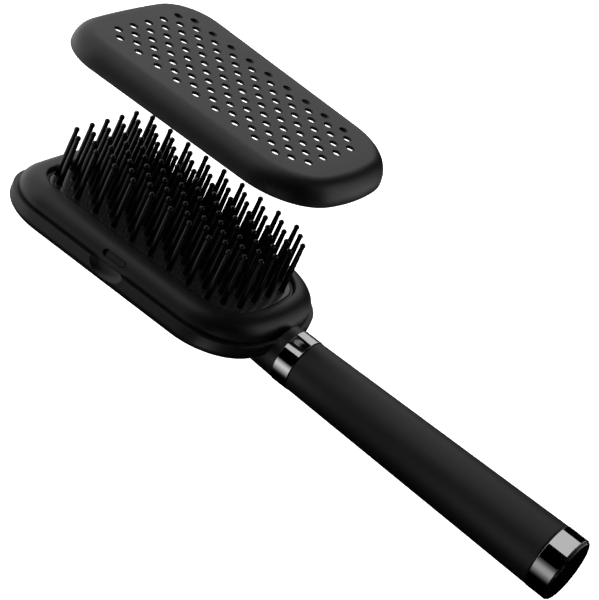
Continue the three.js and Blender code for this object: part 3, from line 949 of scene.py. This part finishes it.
class BRUSH_OT_cleaning_cover(bpy.types.Operator):
    """Perforated cover that lifts off over the pins"""

    bl_idname = "brush.cleaning_cover"
    bl_label = "Cleaning cover"

    def execute(self, context):
        size = lid()
        low, top = COVER_LOW.z, COVER_HIGH.z
        wall_z = top - size.shoulder_rise
        outer = quarter(0, wall_z, size.shoulder_run, size.shoulder_rise, 20)
        inner_run, inner_rise = size.shoulder_run - size.skirt / 2, size.shoulder_rise - size.plate
        slope = 0.3 * MM  # round the thicker plate
        rim = [
            (0, wall_z, 0),
            (0, low, size.rim_round),
            (size.skirt, low, size.rim_round),
            (size.skirt, wall_z, 0),
        ]
        section = outer[::-1] + rounded(rim, closed=False)[1:-1]
        section += quarter(size.skirt, wall_z, inner_run, inner_rise, 12)
        section.append(Vector((size.pad_inset, top - size.plate)))
        section.append(Vector((size.pad_inset + slope, top - size.pad)))
        piece = mesh_object("cover", round_rim(section))
        for side in (1, -1):
            carve(piece, self.catch(side), "UNION")
        carve(piece, joined([upright(x, y, self.drill(top), 28) for x, y in pin_places()]))
        coating = soft_touch("soft_touch_cover")
        finish_piece(piece, coating, "cleaning_cover", body="cover")
        return {"FINISHED"}

    def drill(self, top):
        """Cutter of one hole, with the chamfer of its upper edge."""
        radius, edge = pins().hole_radius, lid().hole_chamfer
        return [
            (radius, top - 2 * lid().pad),
            (radius, top - edge),
            (radius + edge, top),
            (radius + edge, top + OVERCUT),
        ]

    def catch(self, side, edge=0.3 * MM):
        """Rib inside the skirt that snaps into the bezel's recess, with its inner edge drawn in."""
        size = head()
        levels = ((edge, -edge), (2 * edge, 0), (size.bezel_inset, 0))
        rib = round_slot(size.catch_length / 2, size.catch_height / 2, levels)
        reach = 0.25 * MM  # beyond the bezel's wall
        inset = size.bezel_inset + reach + edge
        return at_side(rib, side, size.catch_x, inset, size.catch_z + LIFT)


def half_height(low, high):
    return (high.z - low.z) / 2


def sleeve(name, ends, radii, edge, segments):
    """Sleeve over the core between two ends, with a radius at each and rounded outer edges."""
    (start, end), (first, last), bore = ends, radii, grip().bore
    hold = HOLD * edge
    growth = (last - first) * hold / (end - start)
    corners = [
        (start, bore, 0),
        (start, first, edge),
        (start + hold, first + growth, 0),
        (end - hold, last - growth, 0),
        (end, last, edge),
        (end, bore, 0),
    ]
    return mesh_object(name, turned(rounded(corners, steps=6), segments))


class BRUSH_OT_plated_rings(bpy.types.Operator):
    """Plated rings at both ends of the grip"""

    bl_idname = "brush.plated_rings"
    bl_label = "Plated rings"

    def execute(self, context):
        self.ring("collar", COLLAR_LOW, COLLAR_HIGH, "neck_ring")
        self.ring("tail_ring", END_LOW, END_HIGH, "end_ring")
        return {"FINISHED"}

    def ring(self, name, low, high, node):
        """One ring, a little longer than its node, so that a fine gap shows beside it."""
        radius = half_height(low, high)
        growth = (SEAT_GAP - VISIBLE_GAP) / 2
        ends = (low.x - growth, high.x + growth)
        piece = sleeve(name, ends, (radius, radius), grip().ring_edge, 160)
        finish_piece(piece, black_chrome(), node)


class BRUSH_OT_grip_sleeve(bpy.types.Operator):
    """Tapered soft-touch grip"""

    bl_idname = "brush.grip_sleeve"
    bl_label = "Grip sleeve"

    def execute(self, context):
        radii = (grip().grip_start, half_height(GRIP_LOW, GRIP_HIGH))
        piece = sleeve("grip", (GRIP_LOW.x, GRIP_HIGH.x), radii, grip().grip_round, 128)
        coarser = 0.04  # roughness on top of the other coated parts'
        coating = soft_touch("soft_touch_grip", coarser)
        finish_piece(piece, coating, "grip_sleeve")
        return {"FINISHED"}


class BRUSH_OT_end_cap(bpy.types.Operator):
    """Polished end cap with a low crown"""

    bl_idname = "brush.end_cap"
    bl_label = "End cap"

    def execute(self, context):
        size = grip()
        radius, stem = half_height(CAP_LOW, CAP_HIGH), size.stem_radius
        base = CAP_HIGH.x - size.cap_crown
        crown_x = base + size.cap_rim
        edge, ease, lap = 0.12 * MM, 0.3 * MM, base - 0.6 * MM
        step_in, step_down, crown_in = 0.5 * MM, 0.1 * MM, 0.45 * MM
        fit = size.bore - SEAT_GAP
        inner = ((CAP_LOW.x, 0), (CAP_LOW.x, stem), (lap, stem), (lap, fit), (base, fit))
        rim = [
            (base, size.bore, 0),
            (base, radius, edge),
            (crown_x - step_down, radius, ease),
            (crown_x, radius - step_in, 0),
        ]
        profile = [Vector(p) for p in inner] + rounded(rim, closed=False)[1:-1]
        profile += self.crown(crown_x, radius - crown_in)
        piece = mesh_object("cap", turned(profile, 160))
        finish_piece(piece, polished_black(), "end_cap")
        return {"FINISHED"}

    def crown(self, start, across, steps=16):
        """Quarter ellipse from the rim to the middle of the cap."""
        rise = CAP_HIGH.x - start
        turns = [(math.pi / 2) * k / steps for k in range(steps)]
        points = [Vector((start + rise * math.sin(a), across * math.cos(a))) for a in turns]
        return points + [Vector((CAP_HIGH.x, 0))]


class BRUSH_OT_inner_parts(bpy.types.Operator):
    """Finishes of the inner plastic parts and the screws, which keep their shape"""

    bl_idname = "brush.inner_parts"
    bl_label = "Inner parts"

    def execute(self, context):
        plastic, metal = plain_moulding(), zinc_steel()
        for name, node in frame["nodes"].items():
            slots = node.data.materials
            slots.clear()
            slots.append(metal if "screw" in name else plastic)
        return {"FINISHED"}


# Studio


def card(name, corners, light_of=None):
    """Card that only shows in reflections: black, or with the light that light_of(made) gives."""
    piece = mesh_object(name, ([Vector(c) for c in corners], [tuple(range(len(corners)))]))
    made = Finish(name)
    made.set(Base_Color=(0, 0, 0, 1), Roughness=1.0, Specular_IOR_Level=0.0)
    if light_of:
        made.set(Emission_Strength=1.0, Emission_Color=made.grey(light_of(made)))
    piece.data.materials.append(made.material)
    for kind in ("camera", "diffuse", "shadow", "transmission"):
        setattr(piece, f"visible_{kind}", False)


def fade(axis, start, end, *stops):
    """Light with (share of the way, strength) stops on the way from start to end along an axis."""
    return lambda made: made.ramp(made.between(made.axis(axis), start, end), *stops)


def front_light(made):
    """Light of the low front card: a faint band across its middle and a glow at the left."""
    x = made.axis("X")
    up = made.between(made.axis("Y"), -0.14, -0.75)
    stops = [(0, 0), (0.05, 0.03), (0.13, 0.31), (0.24, 0.67)]
    stops += [(0.38, 0.96), (0.59, 0.47), (0.8, 0.1), (1, 0)]
    band = made.ramp(up, *stops) * made.between(x, 0.0, 0.06, 0.28, 0.0)
    aside = made.between(x, -0.12, -0.24)
    left = made.ramp(aside, (0, 0), (0.4, 0.03), (0.6, 0.2), (0.78, 0.8), (1, 0.8))
    return made.math("MAXIMUM", band, left * made.between(up, 0.45, 0.75, 1.0, 0.0))


def level(low_x, low_y, high_x, high_y, z):
    """Corners of a card that lies flat."""
    return [(low_x, low_y, z), (high_x, low_y, z), (high_x, high_y, z), (low_x, high_y, z)]


def standing(low_x, high_x, y, low_z, high_z):
    """Corners of a card that stands along the brush."""
    return [(low_x, y, low_z), (high_x, y, low_z), (high_x, y, high_z), (low_x, y, high_z)]


def lamp(name, place, target, size, power):
    """Square soft lamp that lights matt surfaces; the cards give the reflections."""
    data = bpy.data.lights.new(name, "AREA")
    data.shape = "SQUARE"
    data.size = size
    data.energy = power
    made = bpy.data.objects.new(name, data)
    made.location = place
    made.rotation_euler = (Vector(target) - Vector(place)).to_track_quat("-Z", "Y").to_euler()
    made.visible_glossy = False
    bpy.context.scene.collection.objects.link(made)


class BRUSH_OT_studio(bpy.types.Operator):
    """Floor, surroundings, lamps, cards and camera"""

    bl_idname = "brush.studio"
    bl_label = "Studio"

    def execute(self, context):
        settings = studio()
        floor_z = min(GRIP_LOW.z, END_LOW.z, SHELL_LOW.z) - settings.floor_drop
        self.floor(floor_z)
        self.world(settings.ambient)
        cards_z = floor_z + 5 * MM  # of the cards that lie flat
        self.dark_cards(floor_z, cards_z)
        self.lit_cards(floor_z, cards_z)
        middle = (0.05, 0, 0.05)  # of the brush
        lamp("key", (-0.2, 0.5, 1.3), middle, 1.2, settings.key_power)
        lamp("fill", (-0.7, -1.0, 0.5), middle, 0.8, settings.fill_power)
        self.camera()
        context.scene.view_settings.view_transform = "Standard"
        return {"FINISHED"}

    def floor(self, z):
        """White floor that takes the brush's shadow and is clear from below; round the shadow the glow
        that the camera sees is dimmed, a painted shade that lets the cast shadow show.
        """
        reach = 6
        corners = [Vector(c) for c in level(-reach, -reach, reach, reach, z)]
        piece = mesh_object("floor", (corners, [(0, 1, 2, 3)]))
        made = Finish("pale_floor")
        shadow = (0.1, -0.15, z)  # its middle, under the overhead lamp; round it the camera sees less of the floor's glow, a painted shade that lets the cast shadow show
        # painted shade: the glow that the camera sees is taken down round the shadow's middle, where the
        # lamp's real shadow falls
        painted_shade = made.between(made.distance(shadow), 0.2, 0.35, 0.61, 0.0)
        glow = made.between(made.distance((0, 0, 0)), 0.8, 3.0, 0.82, 0.95)
        camera = made.ray("Camera")
        made.set(
            Base_Color=made.shaded((0.8, 0.8, 0.8), 0.01, made.grain(40, 3)),
            Roughness=0.6,
            Alpha=1.0 - made.node("ShaderNodeNewGeometry", output="Backfacing"),
            Emission_Color=made.grey((camera + made.mirrored()) * glow - camera * painted_shade),
            Emission_Strength=1.0,
        )
        piece.data.materials.append(made.material)

    def world(self, ambient):
        """Surroundings, white to the eye, a little darker in reflections and dim on matt surfaces."""
        world = bpy.data.worlds.new("white_studio")
        bpy.context.scene.world = world
        world.use_nodes = True
        made = Graph(world.node_tree)
        in_reflections = 0.8
        seen = made.ray("Camera") * (1 - ambient)
        strength = ambient + seen + made.mirrored() * (in_reflections - ambient)
        white = (1, 1, 1, 1)
        light = made.node("ShaderNodeBackground", inputs={"Color": white, "Strength": strength})
        made.node("ShaderNodeOutputWorld", inputs={0: light})

    def dark_cards(self, floor_z, flat_z):
        """Black cards that shape what the plating and the coating reflect."""
        card("card_below", level(-0.25, -0.2, 0.9, 0.48, flat_z))
        card("card_far", level(-0.25, 0.48, 1.3, 1.1, flat_z))
        card("card_right", level(0.3, -0.9, 1.3, -0.2, flat_z))
        side = ((-1.2, floor_z), (0.5, floor_z), (0.5, 1.1), (-1.2, 1.1))
        card("card_side", [(1.0, y, z) for y, z in side])
        card("card_front", standing(-0.42, 1.0, -0.75, 0.07, 0.78))
        card("card_high", standing(-0.23, 1.0, -0.75, 0.78, 1.6))
        card("card_back", standing(-0.18, 0.45, 1.0, -0.2, 0.73))
        over = [(0.02, -0.7), (1.2, -0.7), (1.2, 1.8), (-0.35, 1.8)]
        over += [(-0.35, 1.42), (-0.1, 1.42), (0.0, 0.6)]
        card("card_over", [(x, y, 1.2) for x, y in over])

    def lit_cards(self, floor_z, flat_z):
        """Cards with a light of their own; the last two serve the end ring and the neck ring."""
        left = fade("X", -0.34, -0.5, (0, 0.1), (1, 0.65))
        card("card_left", level(-0.9, -0.14, -0.25, 0.9, flat_z), left)
        back = fade("Z", -0.25, 0.5, (0.48, 0.02), (0.6, 0.37), (0.8, 0.75), (1, 0.9))
        card("card_back_left", standing(-0.9, -0.18, 1.0, floor_z, 0.5), back)
        slope = [(x, -0.14, flat_z) for x in (-0.9, 0.3)] + [(x, -0.75, 0.07) for x in (0.3, -0.9)]
        card("card_low_front", slope, front_light)
        stops = [(0, 0), (0.18, 0.036), (0.4, 0.22), (0.57, 0.48), (0.72, 0.48), (0.87, 0.16), (1, 0)]
        card("card_grip", standing(0.125, 0.22, -0.13, -0.13, 0.045), fade("Z", -0.13, 0.045, *stops))
        left_edge = [(0.032, -0.091), (0.043, -0.057), (0.051, -0.023), (0.053, 0.019)]
        width = 0.018
        strip = [(x, -0.05, z) for x, z in left_edge]
        strip += [(x + width, -0.05, z) for x, z in reversed(left_edge)]
        stops = [(0, 0), (0.34, 0.027), (0.524, 0.31), (0.648, 0.7), (0.745, 1), (0.83, 0.5), (0.895, 0)]
        card("card_collar", strip, fade("Z", -0.091, 0.0225, *stops))

    def camera(self):
        """Camera of the picture: its place, its three axes and its lens."""
        place = Vector((0.3760, -0.7541, 0.47425))
        right = Vector((0.7475, 0.5389, 0.3882)).normalized()
        forward = Vector((-0.3347, 0.8105, -0.4806))
        forward = (forward - right * forward.dot(right)).normalized()
        up = right.cross(forward)
        width, focal, drop = 599, 2373, 10  # pixels
        data = bpy.data.cameras.new("camera")
        data.sensor_fit = "HORIZONTAL"
        data.sensor_width = 36
        data.lens = focal * data.sensor_width / width
        data.shift_y = drop / width
        made = bpy.data.objects.new("camera", data)
        turn = Matrix((right, up, -forward)).transposed()
        made.matrix_world = Matrix.Translation(place) @ turn.to_4x4()
        bpy.context.scene.collection.objects.link(made)
        bpy.context.scene.camera = made


class BRUSH_PT_panel(bpy.types.Panel):
    """Lists the pieces of the brush"""

    bl_idname = "BRUSH_PT_panel"
    bl_label = "Brush"
    bl_space_type = "VIEW_3D"
    bl_region_type = "UI"
    bl_category = "Brush"

    def draw(self, context):
        for step in STEPS:
            self.layout.operator(step.bl_idname)
        for name in GROUPS:
            group = getattr(context.scene, name)
            box = self.layout.box()
            for key in group.bl_rna.properties.keys():
                if key not in ("rna_type", "name"):
                    box.prop(group, key)


GROUPS = {
    "brush_head": HeadSizes,
    "brush_pins": PinSizes,
    "brush_cover": CoverSizes,
    "brush_handle": HandleSizes,
    "brush_finishes": Finishes,
    "brush_studio": StudioSettings,
}

STEPS = (
    BRUSH_OT_inner_parts,
    BRUSH_OT_back_shell,
    BRUSH_OT_front_bezel,
    BRUSH_OT_bed_seal,
    BRUSH_OT_pin_bed,
    BRUSH_OT_cleaning_cover,
    BRUSH_OT_plated_rings,
    BRUSH_OT_grip_sleeve,
    BRUSH_OT_end_cap,
    BRUSH_OT_studio,
)


def register():
    for name, group in GROUPS.items():
        bpy.utils.register_class(group)
        setattr(bpy.types.Scene, name, bpy.props.PointerProperty(type=group))
    for step in STEPS:
        bpy.utils.register_class(step)
    bpy.utils.register_class(BRUSH_PT_panel)


def unregister():
    bpy.utils.unregister_class(BRUSH_PT_panel)
    for step in reversed(STEPS):
        bpy.utils.unregister_class(step)
    for name, group in GROUPS.items():
        delattr(bpy.types.Scene, name)
        bpy.utils.unregister_class(group)


def main():
    register()
    for step in STEPS:
        group, action = step.bl_idname.split(".")
        getattr(getattr(bpy.ops, group), action)()


if __name__ == "__main__":
    main()
